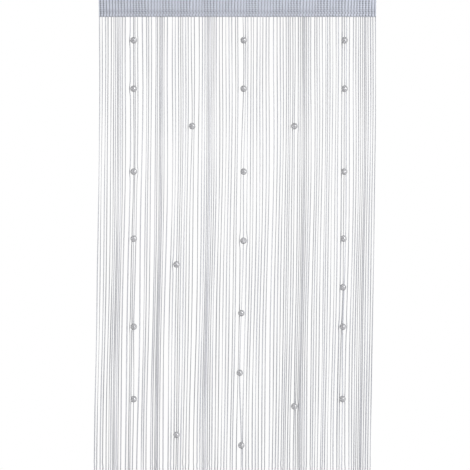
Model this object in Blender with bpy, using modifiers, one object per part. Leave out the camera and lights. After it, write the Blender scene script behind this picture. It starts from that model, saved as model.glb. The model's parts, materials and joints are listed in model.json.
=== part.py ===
"""A bead curtain's cloth: a knitted heading folded into a rod pocket, and the strings sewn behind its lower edge.

Metres, +Z up, front towards -Y. The origin is the middle of the heading's top edge, so a drop is a depth below it.
"""

import math
import random
from collections import namedtuple

import bmesh
import bpy
import numpy as np

WIDTH = 0.900
DROP = 2.000
HEADING_HEIGHT = 0.075

SHEET = 0.0015  # thickness of the knitted band, one layer
GAP = 0.0003  # left between pieces that touch

POCKET_RADIUS = 0.0095  # inside, at the pocket's round top
POCKET_CENTRE = SHEET + POCKET_RADIUS
POCKET_BELLY = 0.35  # how much fuller than straight the pocket's walls hang
SEAM_DROP = 0.052  # where the two layers of the pocket meet
HEM_DROP = 0.057  # where the back layer ends, under the seam
ARC_STEPS = 8
WALL_STEPS = 4
HEADING_STEPS = 24

TAPE_TOP = HEM_DROP + 0.0005
TAPE_END = HEADING_HEIGHT - 0.001
STRING_COUNT = 104
STRING_WIDTH = 0.0024
STRING_THICKNESS = 0.0018
STRING_INSET = 0.0016  # the outermost strings, in from the heading's ends
STRING_LEVELS = (0.30, 0.62, 0.86, 1.10, 1.36, 1.66)  # drops where a string may turn
CENTRED_DROP = 0.30  # from here down the strings hang plumb under the pocket
UNEVEN_CUT = 0.008  # how much shorter than the longest the shortest string is

SWAY = 0.0168  # how far the strings have blown towards -X
SWAY_START, SWAY_STOP = 0.36, 1.63  # drops between which they lean

Crowd = namedtuple("Crowd", "middle reach share")
CROWDS = (  # where the strings bunch, share above 0, or part, share below 0
    Crowd(middle=-0.386, reach=0.013, share=0.90),
    Crowd(middle=-0.356, reach=0.008, share=-0.50),
    Crowd(middle=-0.336, reach=0.008, share=0.40),
    Crowd(middle=-0.310, reach=0.010, share=-0.50),
    Crowd(middle=-0.292, reach=0.007, share=0.30),
    Crowd(middle=-0.275, reach=0.008, share=-0.35),
    Crowd(middle=-0.250, reach=0.011, share=1.05),
    Crowd(middle=-0.219, reach=0.016, share=-0.35),
    Crowd(middle=-0.185, reach=0.010, share=0.40),
    Crowd(middle=-0.128, reach=0.010, share=-0.40),
    Crowd(middle=-0.091, reach=0.012, share=1.00),
    Crowd(middle=-0.028, reach=0.008, share=-0.15),
    Crowd(middle=0.010, reach=0.010, share=-0.25),
    Crowd(middle=0.112, reach=0.016, share=-0.30),
    Crowd(middle=0.166, reach=0.010, share=0.45),
    Crowd(middle=0.216, reach=0.015, share=1.00),
    Crowd(middle=0.242, reach=0.007, share=-0.35),
    Crowd(middle=0.257, reach=0.008, share=0.30),
    Crowd(middle=0.294, reach=0.010, share=0.35),
    Crowd(middle=0.331, reach=0.007, share=-0.25),
    Crowd(middle=0.346, reach=0.008, share=0.50),
    Crowd(middle=0.372, reach=0.010, share=-0.30),
    Crowd(middle=0.407, reach=0.017, share=0.70),
    Crowd(middle=0.440, reach=0.008, share=0.30),
)
UNEVEN_RANK = 0.16  # a string's own shift, as a share of the space to the next one
WANDER_RANK = 0.12  # the same for the slow wander that neighbours share
WANDER_STRINGS = 17.0  # strings from one wander to the next
WANDER_LENGTH = 0.90  # and drop from one wander to the next

HEADING_GREY = (0.50, 0.525, 0.60, 1.0)
STRING_GREY = (0.395, 0.40, 0.43, 1.0)


def clear_scene():
    for thing in list(bpy.data.objects):
        bpy.data.objects.remove(thing, do_unlink=True)


def cloth_material(name, colour):
    material = bpy.data.materials.new(name)
    material.use_nodes = True
    shader = material.node_tree.nodes["Principled BSDF"]
    shader.inputs["Base Color"].default_value = colour
    shader.inputs["Roughness"].default_value = 0.8
    shader.inputs["Metallic"].default_value = 0.0
    return material


def object_from(bm, name, collection, material):
    mesh = bpy.data.meshes.new(name)
    bm.to_mesh(mesh)
    bm.free()
    mesh.materials.append(material)
    piece = bpy.data.objects.new(name, mesh)
    collection.objects.link(piece)
    return piece


def lie(x):
    """How far the heading stands off a straight line, towards +Y, as it hangs slack between its ends."""
    return 0.0005 * math.sin(14.0 * x + 0.6) + 0.0003 * math.sin(31.0 * x)


def pocket_wall(radius, foot):
    """The pocket's wall on one side, as (half depth, drop) from beside the rod down to the seam."""
    wall = []
    for step in range(WALL_STEPS + 1):
        share = step / WALL_STEPS
        fullness = (1 - share) * (1 + POCKET_BELLY * share)
        drop = POCKET_CENTRE + (SEAM_DROP - POCKET_CENTRE) * share
        wall.append((foot + (radius - foot) * fullness, drop))
    return wall


def pocket_outline(radius, foot):
    """(y, drop) from the seam up the front wall, over the top and down the back wall to the seam."""
    wall = pocket_wall(radius, foot)
    front = [(-depth, drop) for depth, drop in reversed(wall)]
    top = []
    for step in range(1, ARC_STEPS):
        angle = math.pi * step / ARC_STEPS
        top.append((-radius * math.cos(angle), POCKET_CENTRE - radius * math.sin(angle)))
    return front + top + wall


def heading_outlines():
    """The band's cross-section: its outer outline, and the pocket inside it."""
    outer = [(-SHEET, HEADING_HEIGHT)]
    outer += pocket_outline(POCKET_RADIUS + SHEET, SHEET)
    outer += [(SHEET, HEM_DROP), (0.0, HEM_DROP), (0.0, HEADING_HEIGHT)]
    inner = pocket_outline(POCKET_RADIUS, 0.0)[:-1]
    return outer, inner


def closed_outline(bm, points, x):
    ring = [bm.verts.new((x, y + lie(x), -drop)) for y, drop in points]
    return [bm.edges.new((ring[i - 1], ring[i])) for i in range(len(ring))]


def make_heading(collection):
    """Knitted band: one layer below the seam, and above it folded to the back into a pocket open at both ends."""
    bm = bmesh.new()
    edges = []
    for outline in heading_outlines():
        edges += closed_outline(bm, outline, -WIDTH / 2)
    ends = [edges]
    for step in range(HEADING_STEPS):
        before = WIDTH * (step / HEADING_STEPS - 0.5)
        after = WIDTH * ((step + 1) / HEADING_STEPS - 0.5)
        made = bmesh.ops.extrude_edge_only(bm, edges=edges)["geom"]
        edges = [part for part in made if isinstance(part, bmesh.types.BMEdge)]
        moved = [part for part in made if isinstance(part, bmesh.types.BMVert)]
        slack = lie(after) - lie(before)
        bmesh.ops.translate(bm, verts=moved, vec=(after - before, slack, 0.0))
    ends.append(edges)
    for end in ends:
        bmesh.ops.triangle_fill(bm, edges=end, use_beauty=True)
    bmesh.ops.recalc_face_normals(bm, faces=bm.faces)
    return object_from(bm, "heading", collection, cloth_material("heading_knit", HEADING_GREY))


def string_places():
    """Two lists to look up where a string hangs: its share of all the strings, and its distance from the middle."""
    along = np.linspace(STRING_INSET - WIDTH / 2, WIDTH / 2 - STRING_INSET, 1801)
    closeness = np.ones_like(along)
    for crowd in CROWDS:
        closeness += crowd.share * np.exp(-(((along - crowd.middle) / crowd.reach) ** 2))
    counted = np.concatenate(([0.0], np.cumsum((closeness[1:] + closeness[:-1]) / 2)))
    return counted / counted[-1], along


def lean(drop):
    """How far the strings have blown towards +X at this drop."""
    share = min(max((drop - SWAY_START) / (SWAY_STOP - SWAY_START), 0.0), 1.0)
    return -SWAY * share * share * (3 - 2 * share)


def string_x(places, rank, own_shift, drop):
    """Where the string of this rank, counted from -X, hangs at this drop."""
    wave = 2 * math.pi * (drop / WANDER_LENGTH + rank / WANDER_STRINGS)
    held = min(drop / CENTRED_DROP, 1.0)  # the tape holds the strings' upper ends
    shifted = rank + own_shift + WANDER_RANK * held * math.sin(wave)
    return float(np.interp(shifted / (STRING_COUNT - 1), *places)) + lean(drop)


def string_y(x, drop):
    """The middle of a string's thickness: behind the heading at its edge, plumb under the pocket lower down."""
    behind = GAP + STRING_THICKNESS / 2 + lie(x)
    return behind * max(1 - drop / CENTRED_DROP, 0.0) if drop > HEADING_HEIGHT else behind


def make_strings(collection):
    """All the strings and the tape that joins them, as one comb: a flat grid whose gaps are cut out, made solid."""
    chance = random.Random(7)
    places = string_places()
    shifts = [chance.uniform(-UNEVEN_RANK, UNEVEN_RANK) for _ in range(STRING_COUNT)]
    cuts = [chance.uniform(0.0, UNEVEN_CUT) for _ in range(STRING_COUNT)]
    shifts[0] = shifts[-1] = cuts[STRING_COUNT // 3] = 0.0
    drops = (TAPE_TOP, TAPE_END) + STRING_LEVELS + (DROP,)
    columns, rows = 2 * STRING_COUNT - 1, len(drops) - 1

    bm = bmesh.new()
    bmesh.ops.create_grid(bm, x_segments=columns, y_segments=rows, size=0.5)
    spaces = []
    for face in bm.faces:
        middle = face.calc_center_median()
        between = int((middle.x + 0.5) * columns) % 2 == 1
        if between and middle.y < 0.5 - 1 / rows:
            spaces.append(face)
    bmesh.ops.delete(bm, geom=spaces, context="FACES")

    for vert in bm.verts:
        column = round((vert.co.x + 0.5) * columns)
        row = round((0.5 - vert.co.y) * rows)
        rank, side = divmod(column, 2)
        drop = drops[row] - (cuts[rank] if row == rows else 0.0)
        x = string_x(places, rank, shifts[rank], max(drop, 0.0))
        vert.co = (x + (side - 0.5) * STRING_WIDTH, string_y(x, drop), -drop)
    bmesh.ops.recalc_face_normals(bm, faces=bm.faces)

    strings = object_from(bm, "strings", collection, cloth_material("string_yarn", STRING_GREY))
    solid = strings.modifiers.new("thickness", "SOLIDIFY")
    solid.thickness = STRING_THICKNESS
    solid.offset = 0.0
    return strings


def make_curtain():
    clear_scene()
    collection = bpy.data.collections.new("bead_curtain")
    bpy.context.scene.collection.children.link(collection)
    make_heading(collection)
    make_strings(collection)


make_curtain()
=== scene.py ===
"""Looks of a bead curtain: a knitted heading with a rod pocket, a fringe of strings, and beads on them.

Metres, +Z up, front towards -Y. The heading's top edge is at height 0, so a drop is a depth below it.
"""

import json
import math
import random
from collections import namedtuple

import bmesh
import bpy
import numpy as np
from mathutils import Matrix, Vector


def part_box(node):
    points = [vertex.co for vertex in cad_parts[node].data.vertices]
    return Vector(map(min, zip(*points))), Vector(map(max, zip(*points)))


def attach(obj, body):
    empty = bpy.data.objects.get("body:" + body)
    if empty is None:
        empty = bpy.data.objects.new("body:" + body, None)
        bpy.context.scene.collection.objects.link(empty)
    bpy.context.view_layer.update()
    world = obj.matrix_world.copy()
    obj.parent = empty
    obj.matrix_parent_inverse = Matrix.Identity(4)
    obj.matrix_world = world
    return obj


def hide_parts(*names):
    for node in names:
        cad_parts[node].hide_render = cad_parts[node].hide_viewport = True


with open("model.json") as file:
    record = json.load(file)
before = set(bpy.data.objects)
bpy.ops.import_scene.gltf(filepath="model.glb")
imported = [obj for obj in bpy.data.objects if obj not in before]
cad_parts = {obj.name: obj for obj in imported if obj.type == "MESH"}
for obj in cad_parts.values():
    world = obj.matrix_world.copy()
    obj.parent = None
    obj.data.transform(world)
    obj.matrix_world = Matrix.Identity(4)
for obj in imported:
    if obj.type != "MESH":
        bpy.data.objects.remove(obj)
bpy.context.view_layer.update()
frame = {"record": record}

# Camera
# It looks straight at the curtain through a long lens. The heading's width in the picture sets the scale.
# The picture's edges cut off the top of the heading and the lower part of the strings.
FRAME_PIXELS = 470
HEADING_PIXELS = (99, 376)  # where the heading's two ends are in the picture
HIDDEN_TOP = 0.0198  # height of heading above the picture's upper edge
LENS, SENSOR = 100.0, 36.0

heading_low, heading_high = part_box("heading")
WIDTH = heading_high.x - heading_low.x
PIXEL = WIDTH / (HEADING_PIXELS[1] - HEADING_PIXELS[0])
view_side = FRAME_PIXELS * PIXEL
view_centre = Vector(((FRAME_PIXELS - sum(HEADING_PIXELS)) / 2 * PIXEL, 0.0, -HIDDEN_TOP - view_side / 2))

camera_data = bpy.data.cameras.new("camera")
camera_data.lens = LENS
camera_data.sensor_width = SENSOR
camera = bpy.data.objects.new("camera", camera_data)
camera.location = view_centre + Vector((0.0, -view_side * LENS / SENSOR, 0.0))
camera.rotation_euler = (math.pi / 2, 0.0, 0.0)
bpy.context.scene.collection.objects.link(camera)
bpy.context.scene.camera = camera
bpy.context.scene.view_settings.view_transform = "Standard"

# Studio
# A pale round floor just below the strings' ends, in a white room. The room's own light is softer than the
# white that the camera sees. It is brightest level with the curtain, behind it and on the left. Softboxes
# stand on the right, in front and behind.
FLOOR_RADIUS, FLOOR_SIDES, FLOOR_CLEARANCE = 2.4, 96, 0.015
FLOOR_GREY, FLOOR_ROUGHNESS = (0.33, 0.33, 0.335, 1.0), 0.9
FLOOR_GLOW = 0.58  # it glows a little, so that it is pale in every view
WHITE = (1.0, 1.0, 1.0, 1.0)
ROOM_LIGHT = ((0.0, 0.20), (0.38, 0.30), (0.52, 0.45), (0.66, 0.26), (1.0, 0.12))  # from below to above
BACKDROP_RISE, BACKDROP_LIGHT = (0.2, 0.7), 0.9  # towards +Y, and how much brighter it is there
SIDE_RISE, LEFT_LIGHT, RIGHT_CHANGE = (-0.6, 0.6), 1.3, -0.8  # towards +X, where it is darker

Softbox = namedtuple("Softbox", "name place size power mirrored")
SOFTBOXES = (  # one that isn't mirrored doesn't show in the beads
    Softbox("right_softbox", place=(3.2, -3.5, 0.8), size=3.7, power=275.0, mirrored=True),
    Softbox("front_softbox", place=(-0.4, -1.7, -0.35), size=1.1, power=10.0, mirrored=False),
    Softbox("back_softbox", place=(-1.4, 3.4, 0.6), size=2.0, power=42.0, mirrored=False),
)


def object_from(bm, name, material):
    """The bmesh as a smooth-shaded object of one material."""
    mesh = bpy.data.meshes.new(name)
    bm.to_mesh(mesh)
    bm.free()
    mesh.materials.append(material)
    mesh.shade_smooth()
    piece = bpy.data.objects.new(name, mesh)
    bpy.context.scene.collection.objects.link(piece)
    return piece


def make_floor():
    paper = bpy.data.materials.new("floor_paper")
    paper.use_nodes = True
    shader = paper.node_tree.nodes["Principled BSDF"]
    shader.inputs["Base Color"].default_value = FLOOR_GREY
    shader.inputs["Roughness"].default_value = FLOOR_ROUGHNESS
    shader.inputs["Emission Color"].default_value = WHITE
    shader.inputs["Emission Strength"].default_value = FLOOR_GLOW
    bm = bmesh.new()
    bmesh.ops.create_circle(bm, cap_ends=True, segments=FLOOR_SIDES, radius=FLOOR_RADIUS)
    floor_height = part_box("strings")[0].z - FLOOR_CLEARANCE
    bmesh.ops.translate(bm, verts=bm.verts, vec=(0.0, 0.0, floor_height))
    object_from(bm, "floor", paper)


def maths(tree, operation, *values):
    """One more maths node; each value is a number or another node's output."""
    node = tree.nodes.new("ShaderNodeMath")
    node.operation = operation
    for socket, value in zip(node.inputs, values):
        if isinstance(value, bpy.types.NodeSocket):
            tree.links.new(value, socket)
        else:
            socket.default_value = value
    return node.outputs[0]


def between(tree, value, low, high):
    """0 up to low, 1 from high on, and a smooth rise between them."""
    rise = tree.nodes.new("ShaderNodeMapRange")
    rise.interpolation_type = "SMOOTHSTEP"
    rise.inputs["From Min"].default_value = low
    rise.inputs["From Max"].default_value = high
    tree.links.new(value, rise.inputs["Value"])
    return rise.outputs[0]


def light_room():
    """White to the camera; to everything else a soft light that varies with the direction."""
    room = bpy.data.worlds.new("room")
    room.use_nodes = True
    tree = room.node_tree
    nodes, links = tree.nodes, tree.links
    seen = nodes["Background"]
    seen.inputs["Color"].default_value = WHITE
    direction = nodes.new("ShaderNodeTexCoord")
    parts = nodes.new("ShaderNodeSeparateXYZ")
    height = nodes.new("ShaderNodeMapRange")
    height.inputs["From Min"].default_value = -1.0  # a direction's height is -1 straight down and 1 up
    ramp = nodes.new("ShaderNodeValToRGB")
    while len(ramp.color_ramp.elements) < len(ROOM_LIGHT):
        ramp.color_ramp.elements.new(0.5)
    for element, (place, brightness) in zip(ramp.color_ramp.elements, ROOM_LIGHT):
        element.position = place
        element.color = (brightness, brightness, brightness, 1.0)
    unseen = nodes.new("ShaderNodeBackground")
    path = nodes.new("ShaderNodeLightPath")
    mix = nodes.new("ShaderNodeMixShader")
    links.new(direction.outputs["Generated"], parts.inputs[0])
    links.new(parts.outputs["Z"], height.inputs["Value"])
    links.new(height.outputs[0], ramp.inputs["Fac"])
    links.new(ramp.outputs["Color"], unseen.inputs["Color"])
    backdrop = between(tree, parts.outputs["Y"], *BACKDROP_RISE)
    right = between(tree, parts.outputs["X"], *SIDE_RISE)
    brighter = maths(tree, "MULTIPLY_ADD", backdrop, BACKDROP_LIGHT, LEFT_LIGHT)
    links.new(maths(tree, "MULTIPLY_ADD", right, RIGHT_CHANGE, brighter), unseen.inputs["Strength"])
    links.new(path.outputs["Is Camera Ray"], mix.inputs["Fac"])
    links.new(unseen.outputs[0], mix.inputs[1])
    links.new(seen.outputs[0], mix.inputs[2])
    links.new(mix.outputs[0], nodes["World Output"].inputs["Surface"])
    bpy.context.scene.world = room


def hang_softbox(softbox):
    """Hang it at its place and aim it at the middle of the view."""
    light_data = bpy.data.lights.new(softbox.name, "AREA")
    light_data.shape = "SQUARE"
    light_data.size = softbox.size
    light_data.energy = softbox.power
    light = bpy.data.objects.new(softbox.name, light_data)
    light.location = softbox.place
    light.visible_camera = False
    light.visible_glossy = softbox.mirrored
    light.visible_transmission = softbox.mirrored
    light.rotation_euler = (view_centre - light.location).to_track_quat("-Z", "Y").to_euler()
    bpy.context.scene.collection.objects.link(light)


make_floor()
light_room()
for softbox in SOFTBOXES:
    hang_softbox(softbox)

# Heading
# One band of fine polyester warp knit, with ribs up and down it and a row of small openings at every few
# stitches. Its upper part is folded to the back over the rod and sewn down into a pocket. Below that seam it
# hangs as a single layer.
SHEET = 0.0013  # thickness of the knit between its ribs
LAYER = 0.0015  # the room that each layer has in the solid heading
HEADING_HEIGHT = 0.075
POCKET_RADIUS = 0.0095  # inside, at the pocket's round top
POCKET_CENTRE = LAYER + POCKET_RADIUS
POCKET_BELLY = 0.35  # how much fuller than straight the pocket's walls hang
SEAM_DROP, HEM_DROP = 0.052, 0.057  # where the two layers meet, and where the back layer ends
WALL_STEPS, ARC_STEPS = 8, 12
SLACK = ((0.0005, 14.0, 0.6), (0.0003, 31.0, 0.0))  # waves along the heading: reach, turns, start

RIBS, RIB_COLUMNS = 93, 6
RIB_WIDTH = WIDTH / RIBS
COURSES, COURSE_ROWS = 22, 3  # rows of openings from edge to edge, and mesh rows in each
OPENING_COLUMNS = (2, 3)  # of a rib's six, the two at its groove
OPENING_ROWS = (2, 1)  # of a course's three, below the seam and above it
SEAM_ROWS = (8, 11)  # rows that the seam closes
HEM_ROWS = 3  # rows without openings at the folded end
OPENING_BOW = 0.0005  # how far the yarn bows away above and below an opening
RIB_RELIEF, CHAIN_RELIEF = 0.0004, 0.0003
SEAM_PULL = 0.7  # share of the relief that the seam flattens
BAR_RELIEF = 0.00012  # of the yarn that crosses the grooves between openings
FOLD_DRIFTS = ((0.0026, 88.0, 0.4), (0.0016, 51.0, 2.1))  # how unevenly it is folded
ZIGZAGS = (0.0022, 0.0007)  # how far the ribs swing from course to course, below the seam and above it
END_HOLD = 8  # how close to the heading's ends the knit still slips and swings: higher is closer

KNIT_ROUGHNESS, KNIT_SHEEN, SHEEN_ROUGHNESS = 0.78, 0.25, 0.4
BUMP_STRENGTH, KNIT_BUMP, LOOP_BUMP = 0.8, 0.0002, 0.6  # the loops' bump is a share of the ribs'
PULSE_NARROWNESS = 3.0
GROOVE_PLACE, FLANK_PLACE, ROW_PLACE = 0.5, 0.75, 0.80  # shares of a rib's width, and of a course
CHAINS_A_RIB, LOOPS_A_COURSE, LOOP_SLANT = 3, 4, 0.0022
PATCH_PITCHES, PATCH_SCALE, PATCH_RISE = (0.0715, 0.1235), 30.0, (-0.4, 0.6)  # patches where painted dark specks show
CLOUD_SCALE = 22.0
SEAM_BLUR, SEAM_REACH, EDGE_REACH = 0.003, 0.014, 0.0038  # how far the shade changes round these places
KNIT_SHADE, POCKET_CHANGE = 1.04, -0.01
# painted shade: the grooves between the ribs are darkened as if in their own shadow, a little less on the
# pocket
GROOVE_PAINTED_SHADE, GROOVE_PAINTED_SHADE_POCKET_CHANGE = -0.42, 0.04
ROW_SHADE, ROW_POCKET_CHANGE = -0.05, 0.03
DOT_PAINTED_SHADE, DOT_MORE_AT_FLANK, DOT_ELSEWHERE = -0.54, 0.5, 0.3  # painted shade: dark specks, as of the shadowed layer seen through the knit, in patches
# the seam is darker partly in its own tone and partly by painted shade where the layers meet; the knit is
# also darker along its lower edge
LOOP_SHADE, CLOUD_SHADE, SEAM_TONE_AND_PAINTED_SHADE, EDGE_SHADE = 0.05, 0.03, -0.16, -0.41


def waves(parts, x):
    """The sum of these waves at this place along the heading."""
    return sum(reach * np.sin(turns * x + start) for reach, turns, start in parts)


def lie(x):
    """How far the heading stands off a straight line, towards +Y, as it hangs slack between its ends."""
    return waves(SLACK, x)


def heading_profile():
    """Rows of (y, drop) along the middle of the band, from its lower edge up and over to the hem behind."""
    foot = LAYER / 2
    wall = []
    for step in range(1, WALL_STEPS + 1):
        share = step / WALL_STEPS
        depth = foot + POCKET_RADIUS * share * (1 + POCKET_BELLY * (1 - share))
        wall.append((depth, SEAM_DROP + (POCKET_CENTRE - SEAM_DROP) * share))
    points = [(-foot, HEADING_HEIGHT), (-foot, SEAM_DROP)]
    points += [(-depth, drop) for depth, drop in wall]
    for step in range(1, ARC_STEPS):
        angle = math.pi * step / ARC_STEPS
        radius = POCKET_RADIUS + foot
        points.append((-radius * math.cos(angle), POCKET_CENTRE - radius * math.sin(angle)))
    points += reversed(wall)
    points += [(foot, SEAM_DROP), (foot, HEM_DROP)]
    points = np.array(points)
    lengths = np.concatenate(([0.0], np.cumsum(np.linalg.norm(np.diff(points, axis=0), axis=1))))
    along = np.linspace(0.0, lengths[-1], COURSES * COURSE_ROWS + 1)
    return np.interp(along, lengths, points[:, 0]), np.interp(along, lengths, points[:, 1]), along


def away_from_ends(x):
    """1 over most of the heading's width, and 0 at its two ends."""
    return 1 - (2 * x / WIDTH) ** END_HOLD


def fold_drift(x, share):
    """How far the knit has slipped along the heading at this share of its way to the hem."""
    return waves(FOLD_DRIFTS, x) * share * away_from_ends(x)


def zigzag(x, row):
    """How far the ribs swing aside at this row of the mesh: one way in one course and back in the next."""
    reach = ZIGZAGS[0] if row < SEAM_ROWS[0] else ZIGZAGS[1]
    return reach * math.cos(math.pi * row / COURSE_ROWS) * away_from_ends(x)


def is_opening(column, row, rows):
    """Whether this cell of the band's mesh is one of the knit's small openings."""
    at_groove = column % RIB_COLUMNS in OPENING_COLUMNS
    sewn = SEAM_ROWS[0] <= row < SEAM_ROWS[1] or row >= rows - HEM_ROWS
    opening_row = OPENING_ROWS[0] if row < SEAM_ROWS[0] else OPENING_ROWS[1]
    return at_groove and row % COURSE_ROWS == opening_row and not sewn


def knit_relief(column, row):
    """How far the knit stands out of the band at this column and row of its mesh."""
    rib = 0.5 + 0.5 * math.cos(2 * math.pi * column / RIB_COLUMNS)
    chain = CHAIN_RELIEF if column % 2 == 0 else 0.0
    bar = BAR_RELIEF if row % COURSE_ROWS == 0 else 0.0
    sewn = SEAM_ROWS[0] <= row <= SEAM_ROWS[1]
    return (RIB_RELIEF * rib + chain + bar * (1 - rib)) * (1 - SEAM_PULL * sewn)


def stripes(tree, place, pitch):
    """A smooth wave along this place: 1 at every whole pitch and -1 half-way between."""
    return maths(tree, "COSINE", maths(tree, "MULTIPLY", place, 2 * math.pi / pitch))


def pulses(tree, place, pitch, start):
    """A narrow rise to 1 once in every pitch of this place, the first of them this share of a pitch along."""
    wave = stripes(tree, maths(tree, "SUBTRACT", place, start * pitch), pitch)
    return maths(tree, "POWER", maths(tree, "MULTIPLY_ADD", wave, 0.5, 0.5), PULSE_NARROWNESS)


def blotches(tree, place, scale, detail):
    """Slow uneven variation from about -1 to 1, made of noise that is mostly from 0.25 to 0.75."""
    noise = tree.nodes.new("ShaderNodeTexNoise")
    noise.inputs["Scale"].default_value = scale
    noise.inputs["Detail"].default_value = detail
    tree.links.new(place, noise.inputs["Vector"])
    return maths(tree, "MULTIPLY_ADD", noise.outputs["Fac"], 4.0, -2.0)


def near(tree, place, middle, reach):
    """1 at this place and 0 from reach away."""
    away = maths(tree, "ABSOLUTE", maths(tree, "SUBTRACT", place, middle))
    return between(tree, maths(tree, "SUBTRACT", reach, away), 0.0, reach)


def finish_material(slot, roughness, sheen):
    """A new material for this slot of the record, its shader, and its UV map, whole and in two parts."""
    material = bpy.data.materials.new(slot)
    material.use_nodes = True
    tree = material.node_tree
    shader = tree.nodes["Principled BSDF"]
    shader.inputs["Roughness"].default_value = roughness
    shader.inputs["Sheen Weight"].default_value = sheen
    shader.inputs["Sheen Roughness"].default_value = SHEEN_ROUGHNESS
    uv = tree.nodes.new("ShaderNodeUVMap")
    uv.uv_map = "cloth"
    parts = tree.nodes.new("ShaderNodeSeparateXYZ")
    tree.links.new(uv.outputs[0], parts.inputs[0])
    return material, shader, uv.outputs[0], parts.outputs["X"], parts.outputs["Y"]


def set_colour(tree, shader, slot, shade):
    """The record's colour for this slot, lighter or darker by shade."""
    colours = {finish["slot"]: finish["base_color"] for finish in frame["record"]["materials"]}
    scaled = tree.nodes.new("ShaderNodeVectorMath")
    scaled.operation = "SCALE"
    scaled.inputs[0].default_value = colours[slot]
    tree.links.new(shade, scaled.inputs["Scale"])
    tree.links.new(scaled.outputs[0], shader.inputs["Base Color"])


def set_bump(tree, shader, height, depth):
    bump = tree.nodes.new("ShaderNodeBump")
    bump.inputs["Strength"].default_value = BUMP_STRENGTH
    bump.inputs["Distance"].default_value = depth
    tree.links.new(height, bump.inputs["Height"])
    tree.links.new(bump.outputs[0], shader.inputs["Normal"])


def knit_material(band_length):
    """Lilac-grey knit: fine zigzag loops on each rib, darker courses, painted shade in grooves and specks, a
    soft sheen.
    """
    material, shader, place, across, up = finish_material("heading_knit", KNIT_ROUGHNESS, KNIT_SHEEN)
    tree = material.node_tree
    course_height = band_length / COURSES
    rib = stripes(tree, across, RIB_WIDTH)
    groove = pulses(tree, across, RIB_WIDTH, GROOVE_PLACE)
    flank = pulses(tree, across, RIB_WIDTH, FLANK_PLACE)
    row = pulses(tree, up, course_height, ROW_PLACE)
    chain = maths(tree, "FRACT", maths(tree, "DIVIDE", across, RIB_WIDTH / CHAINS_A_RIB))
    slant = maths(tree, "ABSOLUTE", maths(tree, "SUBTRACT", chain, 0.5))
    loop_place = maths(tree, "MULTIPLY_ADD", slant, LOOP_SLANT, up)
    loops = stripes(tree, loop_place, course_height / LOOPS_A_COURSE)

    beats = [stripes(tree, across, pitch) for pitch in PATCH_PITCHES]
    beat = maths(tree, "ADD", maths(tree, "ADD", *beats), blotches(tree, place, PATCH_SCALE, detail=1.0))
    patch = between(tree, beat, *PATCH_RISE)
    pocket_start = HEADING_HEIGHT - SEAM_DROP
    pocket = between(tree, up, pocket_start - SEAM_BLUR, pocket_start + SEAM_BLUR)
    # around the seam: its own darker tone and painted shade
    seam = near(tree, up, HEADING_HEIGHT - HEM_DROP, SEAM_REACH)
    edge = near(tree, up, 0.0, EDGE_REACH)
    # painted shade: dark specks along the rows, most at the ribs' flanks, inside the patches
    shadow_specks = maths(tree, "MULTIPLY_ADD", flank, DOT_MORE_AT_FLANK, DOT_ELSEWHERE)
    shadow_specks = maths(tree, "MULTIPLY", maths(tree, "MULTIPLY", shadow_specks, patch), row)
    clouds = blotches(tree, place, CLOUD_SCALE, detail=1.0)

    shade = maths(tree, "MULTIPLY_ADD", pocket, POCKET_CHANGE, KNIT_SHADE)
    # painted shade in the grooves between the ribs
    groove_painted_shade = maths(tree, "MULTIPLY_ADD", pocket, GROOVE_PAINTED_SHADE_POCKET_CHANGE, GROOVE_PAINTED_SHADE)
    row_shade = maths(tree, "MULTIPLY_ADD", pocket, ROW_POCKET_CHANGE, ROW_SHADE)
    weights = (
        (groove, groove_painted_shade), (row, row_shade), (shadow_specks, DOT_PAINTED_SHADE), (loops, LOOP_SHADE),
        (clouds, CLOUD_SHADE), (seam, SEAM_TONE_AND_PAINTED_SHADE), (edge, EDGE_SHADE),
    )
    for value, weight in weights:
        shade = maths(tree, "MULTIPLY_ADD", value, weight, shade)
    set_colour(tree, shader, "heading_knit", shade)
    set_bump(tree, shader, maths(tree, "MULTIPLY_ADD", loops, LOOP_BUMP, rib), KNIT_BUMP)
    return material


def make_heading():
    """A flat grid with its openings cut out, bent along the band's profile."""
    ys, drops, lengths = heading_profile()
    columns, rows = RIBS * RIB_COLUMNS, len(lengths) - 1
    slope_y, slope_z = np.gradient(ys), -np.gradient(drops)
    steepness = np.hypot(slope_y, slope_z)
    out_y, out_z = -slope_z / steepness, slope_y / steepness

    bm = bmesh.new()
    bmesh.ops.create_grid(bm, x_segments=columns, y_segments=rows, size=0.5)
    openings = []
    for face in bm.faces:
        middle = face.calc_center_median()
        if is_opening(int((middle.x + 0.5) * columns), int((middle.y + 0.5) * rows), rows):
            openings.append(face)
    bmesh.ops.delete(bm, geom=openings, context="FACES")

    cells = {}
    for vert in bm.verts:
        column, row = round((vert.co.x + 0.5) * columns), round((vert.co.y + 0.5) * rows)
        cells[vert] = (column, row)
        x = WIDTH * (column / columns - 0.5)
        relief = knit_relief(column, row)
        bow = 0.0
        if column % RIB_COLUMNS == RIB_COLUMNS // 2:
            if is_opening(column, row, rows):
                bow = -OPENING_BOW
            elif is_opening(column, row - 1, rows):
                bow = OPENING_BOW
        y = ys[row] + out_y[row] * relief - out_z[row] * bow
        z = -drops[row] + out_z[row] * relief + out_y[row] * -bow
        vert.co = (x + fold_drift(x, lengths[row] / lengths[-1]) + zigzag(x, row), y + lie(x), z)
    uv_layer = bm.loops.layers.uv.new("cloth")
    for face in bm.faces:
        for loop in face.loops:
            column, row = cells[loop.vert]
            loop[uv_layer].uv = (WIDTH * column / columns, lengths[row])
    bmesh.ops.recalc_face_normals(bm, faces=bm.faces)
    heading = object_from(bm, "heading_band", knit_material(lengths[-1]))
    thickness = heading.modifiers.new("thickness", "SOLIDIFY")
    thickness.thickness = SHEET
    thickness.offset = 0.0
    return heading, lengths[-1]


heading, heading_length = make_heading()
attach(heading, "root")
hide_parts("heading")

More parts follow.
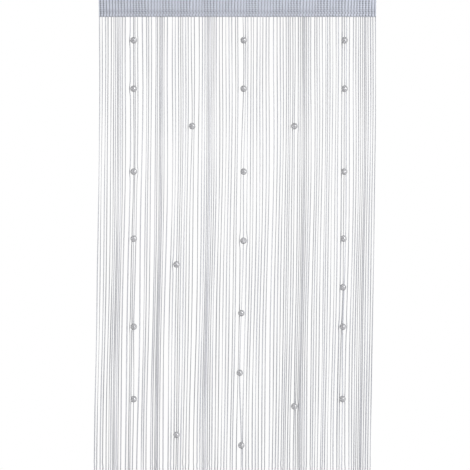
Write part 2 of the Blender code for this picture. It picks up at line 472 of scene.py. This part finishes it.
# Strings
# A cut fringe: 104 soft polyester strings in a row, all knitted into one narrow tape that is sewn behind the
# lower edge of the heading. They hang free below it, bunched and parted a little, have blown slightly to the
# left, and curl towards their ends.
GAP = 0.0003  # left between pieces that touch
DROP = -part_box("strings")[0].z
TAPE_TOP = HEM_DROP + 0.0005
TAPE_END = HEADING_HEIGHT - 0.001
TAPE_THICKNESS = 0.0009
TAPE_COLUMNS = 4  # for each string
TAPE_ROWS = 8
TAPE_SHADE = 0.96
STRING_COUNT = 104
STRING_INSET = 0.0016  # the outermost strings, in from the heading's ends
SOLID_THICKNESS = 0.0018  # of the strings in the solid model
CENTRED_DROP = 0.30  # from here down the strings hang plumb under the pocket
UNEVEN_CUT = 0.008  # how much shorter than the longest the shortest string is
SWAY = 0.0168  # how far the strings have blown towards -X
SWAY_START, SWAY_STOP = 0.36, 1.63  # drops between which they lean

PLACE_STEPS = 1801
Crowd = namedtuple("Crowd", "middle reach share")
CROWDS = (  # where the strings bunch, share above 0, or part, share below 0
    Crowd(middle=-0.386, reach=0.013, share=0.90),
    Crowd(middle=-0.356, reach=0.008, share=-0.50),
    Crowd(middle=-0.336, reach=0.008, share=0.40),
    Crowd(middle=-0.310, reach=0.010, share=-0.50),
    Crowd(middle=-0.292, reach=0.007, share=0.30),
    Crowd(middle=-0.275, reach=0.008, share=-0.35),
    Crowd(middle=-0.250, reach=0.011, share=1.05),
    Crowd(middle=-0.219, reach=0.016, share=-0.35),
    Crowd(middle=-0.185, reach=0.010, share=0.40),
    Crowd(middle=-0.128, reach=0.010, share=-0.40),
    Crowd(middle=-0.091, reach=0.012, share=1.00),
    Crowd(middle=-0.028, reach=0.008, share=-0.15),
    Crowd(middle=0.010, reach=0.010, share=-0.25),
    Crowd(middle=0.112, reach=0.016, share=-0.30),
    Crowd(middle=0.166, reach=0.010, share=0.45),
    Crowd(middle=0.216, reach=0.015, share=1.00),
    Crowd(middle=0.242, reach=0.007, share=-0.35),
    Crowd(middle=0.257, reach=0.008, share=0.30),
    Crowd(middle=0.294, reach=0.010, share=0.35),
    Crowd(middle=0.331, reach=0.007, share=-0.25),
    Crowd(middle=0.346, reach=0.008, share=0.50),
    Crowd(middle=0.372, reach=0.010, share=-0.30),
    Crowd(middle=0.407, reach=0.017, share=0.70),
    Crowd(middle=0.440, reach=0.008, share=0.30),
)
SEED = 7  # of the random differences between strings
UNEVEN_RANK = 0.16  # a string's own shift, as a share of the space to the next one
WANDER_RANK = 0.12  # the same for the slow wander that neighbours share
WANDER_STRINGS, WANDER_LENGTH = 17.0, 0.90  # strings, and drop, from one wander to the next

STRING_TOP = TAPE_TOP + 0.0015
STRING_WIDTH, STRING_DEPTH = 0.0026, 0.0014
UNEVEN_YARN, UNEVEN_SHADE = 0.12, 0.08  # how much strings differ in width, and in how pale they are
FULLNESS = ((0.10, 0.50, 0.85, 1.30), (1.26, 0.98, 1.18, 1.34))  # at these drops, how full the yarn lies
FULLNESS_LIMITS = (0.7, 1.3)
TURN_SPREAD, TWIST, TWIST_LENGTH = 0.35, 0.5, 0.61  # how strings are turned round themselves, in radians
STRING_SIDES = 6
LEVELS = 324  # steps down each string
MERGE_DISTANCE = 0.00001
STRINGS_A_PIECE = 26
STAGGER = 0.0007  # every second string hangs this far in front of or behind the others
BILLOW, BILLOW_LENGTH, BILLOW_STRINGS = 0.0018, 1.10, 23.0  # a slow wave in depth
KINK_START, KINK_RISE = 1.495, 0.12  # drop where the strings begin to curl, and over which it grows
KINK_REACH, KINK_LENGTH = 0.0038, 0.042
KINK_PACES, KINK_CURLS = (0.85, 1.15), (0.2, 1.0)  # how quickly and how strongly single strings curl
KINK_ROOM = 0.6  # share of the space to the next string that a kink may fill
KINK_MEAN, KINK_SWELL, KINK_SWELL_PACE = 0.6, 0.4, 0.31  # kinks grow and shrink as they go on
KINK_DEPTH, KINK_DEPTH_PACE = 0.7, 0.8  # shares of the kinks' reach and pace in depth

YARN_ROUGHNESS, YARN_SHEEN, YARN_BUMP = 0.8, 0.1, 0.00015
PLIES, PLY_PITCH, PLY_PAINTED_SHADE = 2, 0.0026, 0.06
FUZZ_SCALE, FUZZ_SHADE = 90.0, 0.04

Hanging = namedtuple("Hanging", "x y drop twist width shade")  # a row for each string
Bead = namedtuple("Bead", "x drop")
BEADS = (
    Bead(-0.3370, 0.1510),
    Bead(-0.3370, 0.3085),
    Bead(-0.3370, 0.5775),
    Bead(-0.3370, 0.7950),
    Bead(-0.3370, 1.0810),
    Bead(-0.3370, 1.3160),
    Bead(-0.1980, 0.8790),
    Bead(-0.1980, 1.4320),
    Bead(-0.1471, 0.4300),
    Bead(0.0198, 0.1510),
    Bead(0.0198, 0.3085),
    Bead(0.0198, 0.5775),
    Bead(0.0192, 0.8020),
    Bead(0.0125, 1.0370),
    Bead(0.0071, 1.2310),
    Bead(0.0122, 1.4660),
    Bead(0.1845, 0.4300),
    Bead(0.1845, 1.3400),
    Bead(0.3475, 0.1510),
    Bead(0.3475, 0.3085),
    Bead(0.3462, 0.5775),
    Bead(0.3438, 0.7950),
    Bead(0.3422, 0.9530),
    Bead(0.3419, 1.0810),
    Bead(0.3411, 1.3160),
)
BEAD_RADIUS = 0.0108
BEAD_FORWARD = 0.0035  # a bead hangs this far in front, and the strings close beside it slip behind
BEAD_CLEARANCE = 0.0012  # from a bead to a string behind it
BEAD_NEIGHBOURS = 4  # strings on each side that may be in a bead's way
BESIDE = 0.0095  # strings further aside than this are nudged past the bead's rim
NUDGE_ROOM = 0.7  # share of the space to the next string that a nudge may fill
PULL_LENGTH, FORWARD_LENGTH, SLIP_LENGTH = 0.15, 0.07, 0.018  # how far up and down each of these reaches


def string_places():
    """Two lists to look up where a string hangs: its share of all strings, and its place from the middle."""
    along = np.linspace(STRING_INSET - WIDTH / 2, WIDTH / 2 - STRING_INSET, PLACE_STEPS)
    closeness = np.ones_like(along)
    for crowd in CROWDS:
        closeness += crowd.share * np.exp(-(((along - crowd.middle) / crowd.reach) ** 2))
    counted = np.concatenate(([0.0], np.cumsum((closeness[1:] + closeness[:-1]) / 2)))
    return counted / counted[-1], along


def lean(drop):
    """How far the strings have blown towards +X at this drop."""
    share = np.clip((drop - SWAY_START) / (SWAY_STOP - SWAY_START), 0.0, 1.0)
    return -SWAY * share * share * (3 - 2 * share)


def string_x(rank, own_shift, drop):
    """Where the string of this rank, counted from -X, hangs at this drop."""
    wave = 2 * np.pi * (drop / WANDER_LENGTH + rank / WANDER_STRINGS)
    held = np.clip(drop / CENTRED_DROP, 0.0, 1.0)
    shifted = rank + own_shift + WANDER_RANK * held * np.sin(wave)
    return np.interp(shifted / (STRING_COUNT - 1), *string_places()) + lean(drop)


def string_y(x, drop):
    """The middle of a string's thickness: on the tape at first, and plumb under the pocket lower down."""
    behind = GAP + SOLID_THICKNESS / 2 + lie(x)
    return np.where(drop > HEADING_HEIGHT, behind * np.clip(1 - drop / CENTRED_DROP, 0.0, 1.0), behind)


def at_drop(places, drop, rank, here):
    """Where the string of this rank is at one drop."""
    return float(np.interp(here, drop[rank], places[rank]))


def bulge(drop, middle, reach):
    """1 at the middle drop, falling off smoothly above and below it."""
    return np.exp(-(((drop - middle) / reach) ** 2))


def draw_to_bead(x, drop, holder, bead):
    """Draw the string that holds this bead aside to the bead's place."""
    aside = bead.x - at_drop(x, drop, holder, bead.drop)
    x[holder] += aside * bulge(drop[holder], bead.drop, PULL_LENGTH)


def make_way(x, y, drop, string, outward, place):
    """Slip this string behind the bead at this place, and past its rim if it hangs far enough aside."""
    bead_x, bead_y, bead_drop = place
    aside = outward * (at_drop(x, drop, string, bead_drop) - bead_x)
    clear = BEAD_RADIUS + STRING_WIDTH
    if aside > clear:
        return
    slip = bulge(drop[string], bead_drop, SLIP_LENGTH)
    if aside > BESIDE:
        space = outward * (at_drop(x, drop, string + outward, bead_drop) - bead_x) - aside
        nudge = min(clear - aside, max(NUDGE_ROOM * (space - STRING_WIDTH), 0.0))
        x[string] += outward * nudge * slip
        aside += nudge
    depth = math.sqrt(max((BEAD_RADIUS + BEAD_CLEARANCE) ** 2 - aside ** 2, 0.0))
    needed = bead_y + depth + STRING_DEPTH / 2 - at_drop(y, drop, string, bead_drop)
    y[string] += max(needed, 0.0) * slip


def thread_beads(x, y, drop):
    """Bring the nearest string to each bead, clear the strings beside it away, and list the beads' places."""
    holders = []
    for bead in BEADS:
        level = np.argmin(np.abs(drop - bead.drop), axis=1)
        holders.append(int(np.argmin(np.abs(x[np.arange(STRING_COUNT), level] - bead.x))))
        draw_to_bead(x, drop, holders[-1], bead)
    for bead, holder in zip(BEADS, holders):
        draw_to_bead(x, drop, holder, bead)

    places = []
    for bead, holder in zip(BEADS, holders):
        y[holder] -= BEAD_FORWARD * bulge(drop[holder], bead.drop, FORWARD_LENGTH)
        place = (at_drop(x, drop, holder, bead.drop), at_drop(y, drop, holder, bead.drop), bead.drop)
        places.append(place)
        first = max(holder - BEAD_NEIGHBOURS, 1)
        last = min(holder + BEAD_NEIGHBOURS, STRING_COUNT - 2)
        for string in range(first, last + 1):
            if string != holder:
                make_way(x, y, drop, string, 1 if string > holder else -1, place)
    return places


def hang_strings():
    """How every string hangs, and where the beads on them are."""
    chance = random.Random(SEED)
    shifts = [chance.uniform(-UNEVEN_RANK, UNEVEN_RANK) for _ in range(STRING_COUNT)]
    cuts = [chance.uniform(0.0, UNEVEN_CUT) for _ in range(STRING_COUNT)]
    shifts[0] = shifts[-1] = cuts[STRING_COUNT // 3] = 0.0
    rank = np.arange(STRING_COUNT, dtype=float)[:, None]
    lengths = DROP - np.array(cuts)[:, None] - STRING_TOP
    drop = STRING_TOP + lengths * np.linspace(0.0, 1.0, LEVELS + 1)[None, :]
    x = string_x(rank, np.array(shifts)[:, None], drop)
    y = string_y(x, drop)

    free = np.clip((drop - HEADING_HEIGHT) / CENTRED_DROP, 0.0, 1.0)
    y += free * STAGGER * np.where(rank % 2 == 0, -1.0, 1.0)
    y += free * BILLOW * np.sin(2 * np.pi * (drop / BILLOW_LENGTH + rank / BILLOW_STRINGS))

    starts = np.array([chance.uniform(0.0, 2 * np.pi) for _ in range(STRING_COUNT)])[:, None]
    paces = np.array([chance.uniform(*KINK_PACES) for _ in range(STRING_COUNT)])[:, None]
    curls = np.array([chance.uniform(*KINK_CURLS) ** 2 for _ in range(STRING_COUNT)])[:, None]
    spaces = np.diff(x[:, -1], prepend=-WIDTH, append=WIDTH)
    room = np.minimum(spaces[:-1], spaces[1:])[:, None] - STRING_WIDTH
    curl = KINK_REACH * curls * np.clip((drop - KINK_START) / KINK_RISE, 0.0, 1.0)
    bend = 2 * np.pi * drop / KINK_LENGTH * paces + starts
    swell = KINK_MEAN + KINK_SWELL * np.sin(KINK_SWELL_PACE * bend + starts)
    x += np.minimum(curl, KINK_ROOM * room) * np.sin(bend) * swell
    y += KINK_DEPTH * curl * np.cos(KINK_DEPTH_PACE * bend + starts)
    bead_places = thread_beads(x, y, drop)

    turns = np.array([chance.gauss(0.0, TURN_SPREAD) for _ in range(STRING_COUNT)])[:, None]
    twist = turns + TWIST * np.sin(2 * np.pi * drop / TWIST_LENGTH + starts)
    fullness = np.array([chance.gauss(1.0, UNEVEN_YARN) for _ in range(STRING_COUNT)])
    shades = np.array([chance.gauss(1.0, UNEVEN_SHADE) for _ in range(STRING_COUNT)]) * fullness
    widths = STRING_WIDTH * np.clip(fullness, *FULLNESS_LIMITS)[:, None] * np.interp(drop, *FULLNESS)
    return Hanging(x, y, drop, twist, widths, shades), bead_places


def yarn_material():
    """Pale grey spun polyester: plies wound round each string, with painted shade between them, and a little
    fuzz.
    """
    material, shader, place, around, along = finish_material("string_yarn", YARN_ROUGHNESS, YARN_SHEEN)
    tree = material.node_tree
    own = tree.nodes.new("ShaderNodeAttribute")
    own.attribute_name = "shade"
    wound = maths(tree, "MULTIPLY_ADD", around, PLIES * PLY_PITCH, along)
    plies = stripes(tree, wound, PLY_PITCH)
    # painted shade between the plies, and lighter on their crests
    shade = maths(tree, "MULTIPLY_ADD", plies, PLY_PAINTED_SHADE, own.outputs["Fac"])
    shade = maths(tree, "MULTIPLY_ADD", blotches(tree, place, FUZZ_SCALE, detail=2.0), FUZZ_SHADE, shade)
    set_colour(tree, shader, "string_yarn", shade)
    set_bump(tree, shader, plies, YARN_BUMP)
    return material


def make_strings(first, yarn, hanging):
    """One piece of neighbouring strings: a flat grid cut into strips, each rolled up into a string."""
    strip = STRING_SIDES + 1
    columns = strip * STRINGS_A_PIECE - 1
    bm = bmesh.new()
    bmesh.ops.create_grid(bm, x_segments=columns, y_segments=LEVELS, size=0.5)
    spaces = []
    for face in bm.faces:
        column = int((face.calc_center_median().x + 0.5) * columns)
        if column % strip == strip - 1:
            spaces.append(face)
    bmesh.ops.delete(bm, geom=spaces, context="FACES")
    shade_layer = bm.verts.layers.float.new("shade")
    cells = {}
    for vert in bm.verts:
        column, level = round((vert.co.x + 0.5) * columns), round((0.5 - vert.co.y) * LEVELS)
        order, side = divmod(column, strip)
        rank = first + order
        drop = hanging.drop[rank, level]
        cells[vert] = (side, drop)
        angle, turn = 2 * math.pi * side / STRING_SIDES, hanging.twist[rank, level]
        wide, deep = hanging.width[rank, level] / 2 * math.cos(angle), STRING_DEPTH / 2 * math.sin(angle)
        aside = wide * math.cos(turn) - deep * math.sin(turn)
        forward = wide * math.sin(turn) + deep * math.cos(turn)
        vert.co = (hanging.x[rank, level] + aside, hanging.y[rank, level] + forward, -drop)
        vert[shade_layer] = hanging.shade[rank]
    uv_layer = bm.loops.layers.uv.new("cloth")
    for face in bm.faces:
        for loop in face.loops:
            side, along = cells[loop.vert]
            loop[uv_layer].uv = (side / STRING_SIDES, along)
    bmesh.ops.remove_doubles(bm, verts=bm.verts, dist=MERGE_DISTANCE)
    bmesh.ops.holes_fill(bm, edges=bm.edges, sides=STRING_SIDES)
    bmesh.ops.recalc_face_normals(bm, faces=bm.faces)
    return object_from(bm, f"strings_{first // STRINGS_A_PIECE + 1}", yarn)


def make_tape(yarn):
    """The narrow knitted tape that the strings grow out of."""
    columns = STRING_COUNT * TAPE_COLUMNS
    bm = bmesh.new()
    bmesh.ops.create_grid(bm, x_segments=columns, y_segments=TAPE_ROWS, size=0.5)
    shade_layer = bm.verts.layers.float.new("shade")
    for vert in bm.verts:
        x = WIDTH * vert.co.x
        drop = TAPE_TOP + (TAPE_END - TAPE_TOP) * (0.5 - vert.co.y)
        vert.co = (x, GAP + SOLID_THICKNESS / 2 + lie(x), -drop)
        vert[shade_layer] = TAPE_SHADE
    uv_layer = bm.loops.layers.uv.new("cloth")
    for face in bm.faces:
        for loop in face.loops:
            loop[uv_layer].uv = (loop.vert.co.x / RIB_WIDTH, loop.vert.co.z)
    bmesh.ops.recalc_face_normals(bm, faces=bm.faces)
    tape = object_from(bm, "tape", yarn)
    thickness = tape.modifiers.new("thickness", "SOLIDIFY")
    thickness.thickness = TAPE_THICKNESS
    thickness.offset = 0.0
    return tape


yarn = yarn_material()
hanging, bead_places = hang_strings()
string_pieces = [make_strings(first, yarn, hanging) for first in range(0, STRING_COUNT, STRINGS_A_PIECE)]
tape = make_tape(yarn)
for piece in string_pieces + [tape]:
    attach(piece, "root")
    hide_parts("strings")

# Stitching
# Two rows of lockstitch in the heading's own thread, one along the pocket's seam and one through the tape,
# both seen on the front and the back. A loop of string yarn, darkened by painted shade, goes over the lower
# edge at each string.
STITCH_PITCH, STITCH_LENGTH, THREAD = 0.0036, 0.0029, 0.0005
TAPE_STITCH_DROP = 0.0655
LOOP_WIDTH, LOOP_HEIGHT, LOOP_DEPTH = 0.0017, 0.0042, 0.0009
LOOP_DROP = HEADING_HEIGHT - 0.0012
STITCH_SIDES, STITCH_ROWS = 6, 4
THREAD_ROUGHNESS, THREAD_TURN, THREAD_TURN_SHADE, THREAD_BUMP = 0.6, 0.0006, 0.08, 0.0001
# the edge loops' yarn is darkened by painted shade, for the shadows at the heading's lower edge
SEAM_THREAD_SHADE, LOOP_YARN_PAINTED_SHADE = 0.85, 0.80


def add_stitch(bm, place, size):
    """A short length of thread lying on the cloth, pulled down into it at both ends."""
    shape = Matrix.Translation(place) @ Matrix.Diagonal((*size, 1.0))
    bmesh.ops.create_uvsphere(bm, u_segments=STITCH_SIDES, v_segments=STITCH_ROWS, radius=0.5, matrix=shape)


def thread_material(slot, shade):
    """Sewing thread in the colour of this slot, a little lighter or darker, with its twist."""
    material = bpy.data.materials.new(slot + "_thread")
    material.use_nodes = True
    tree = material.node_tree
    shader = tree.nodes["Principled BSDF"]
    shader.inputs["Roughness"].default_value = THREAD_ROUGHNESS
    place = tree.nodes.new("ShaderNodeTexCoord")
    parts = tree.nodes.new("ShaderNodeSeparateXYZ")
    tree.links.new(place.outputs["Object"], parts.inputs[0])
    twist = stripes(tree, maths(tree, "ADD", parts.outputs["X"], parts.outputs["Z"]), THREAD_TURN)
    set_colour(tree, shader, slot, maths(tree, "MULTIPLY_ADD", twist, THREAD_TURN_SHADE, shade))
    set_bump(tree, shader, twist, THREAD_BUMP)
    return material


def make_seams():
    """One stitch of each row, doubled along the heading until the rows are full."""
    front = -LAYER / 2 - SHEET / 2
    seam_drop = (SEAM_DROP + HEM_DROP) / 2
    rows = (
        (seam_drop, front - (RIB_RELIEF + CHAIN_RELIEF) * (1 - SEAM_PULL)),
        (seam_drop, -front),
        (TAPE_STITCH_DROP, front - CHAIN_RELIEF - THREAD / 4),
        (TAPE_STITCH_DROP, GAP + SOLID_THICKNESS / 2 + TAPE_THICKNESS / 2),
    )
    bm = bmesh.new()
    for drop, y in rows:
        add_stitch(bm, Vector(((STITCH_PITCH - WIDTH) / 2, y, -drop)), (STITCH_LENGTH, THREAD, THREAD))
    sewn = 1
    while sewn * STITCH_PITCH < WIDTH:
        copied = bmesh.ops.duplicate(bm, geom=bm.verts[:] + bm.edges[:] + bm.faces[:])["geom"]
        moved = [part for part in copied if isinstance(part, bmesh.types.BMVert)]
        bmesh.ops.translate(bm, verts=moved, vec=(sewn * STITCH_PITCH, 0.0, 0.0))
        sewn *= 2
    beyond = [vert for vert in bm.verts if vert.co.x > WIDTH / 2]
    bmesh.ops.delete(bm, geom=beyond, context="VERTS")
    for vert in bm.verts:
        vert.co.y += lie(vert.co.x)
    return object_from(bm, "seam_stitches", thread_material("heading_knit", SEAM_THREAD_SHADE))


def make_edge_loops(hanging):
    """One loop of string yarn for each string, where it passes the heading's lower edge, darkened by painted
    shade.
    """
    bm = bmesh.new()
    for rank in range(STRING_COUNT):
        x = at_drop(hanging.x, hanging.drop, rank, LOOP_DROP)
        y = -LAYER / 2 - SHEET / 2 - CHAIN_RELIEF
        add_stitch(bm, Vector((x, y + lie(x), -LOOP_DROP)), (LOOP_WIDTH, LOOP_DEPTH, LOOP_HEIGHT))
    return object_from(bm, "edge_loops", thread_material("string_yarn", LOOP_YARN_PAINTED_SHADE))


seams = make_seams()
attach(seams, "root")
edge_loops = make_edge_loops(hanging)
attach(edge_loops, "root")

# Beads
# Round balls of polished smoke-grey acrylic, just under 22 mm across, each threaded on one string through a
# straight bore. They hang a little in front, and the strings close beside them pass behind.
BORE_RADIUS = 0.0016
BEAD_STEPS, BEAD_SPIN_STEPS = 14, 24
BEAD_ROUGHNESS, BEAD_IOR, BEAD_CLEARNESS = 0.06, 1.49, 0.6
BEAD_COAT, COAT_ROUGHNESS = 1.0, 0.03
BEAD_SHADE, BEAD_CLOUD_SCALE, BEAD_CLOUD_SHADE = 1.14, 120.0, 0.06


def acrylic_material():
    """Clear enough to show the room turned round in it, with a hard polished surface."""
    material = bpy.data.materials.new("bead_acrylic")
    material.use_nodes = True
    tree = material.node_tree
    shader = tree.nodes["Principled BSDF"]
    shader.inputs["Roughness"].default_value = BEAD_ROUGHNESS
    shader.inputs["IOR"].default_value = BEAD_IOR
    shader.inputs["Transmission Weight"].default_value = BEAD_CLEARNESS
    shader.inputs["Coat Weight"].default_value = BEAD_COAT
    shader.inputs["Coat Roughness"].default_value = COAT_ROUGHNESS
    place = tree.nodes.new("ShaderNodeTexCoord")
    clouds = blotches(tree, place.outputs["Object"], BEAD_CLOUD_SCALE, detail=2.0)
    shade = maths(tree, "MULTIPLY_ADD", clouds, BEAD_CLOUD_SHADE, BEAD_SHADE)
    set_colour(tree, shader, "bead_acrylic", shade)
    return material


def make_beads(places):
    """Each bead is a rounded outline with its bore, spun once round."""
    bm = bmesh.new()
    start = math.asin(BORE_RADIUS / BEAD_RADIUS)
    for x, y, drop in places:
        middle = Vector((x, y, -drop))
        outline = []
        for step in range(BEAD_STEPS + 1):
            angle = start + (math.pi - 2 * start) * step / BEAD_STEPS
            across, height = BEAD_RADIUS * math.sin(angle), BEAD_RADIUS * math.cos(angle)
            outline.append(bm.verts.new(middle + Vector((across, 0.0, height))))
        edges = [bm.edges.new(pair) for pair in zip(outline, outline[1:] + outline[:1])]
        bmesh.ops.spin(
            bm, geom=outline + edges, cent=middle, axis=(0, 0, 1), angle=2 * math.pi,
            steps=BEAD_SPIN_STEPS, use_merge=True,
        )
    bmesh.ops.recalc_face_normals(bm, faces=bm.faces)
    return object_from(bm, "beads", acrylic_material())


beads = make_beads(bead_places)
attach(beads, "root")
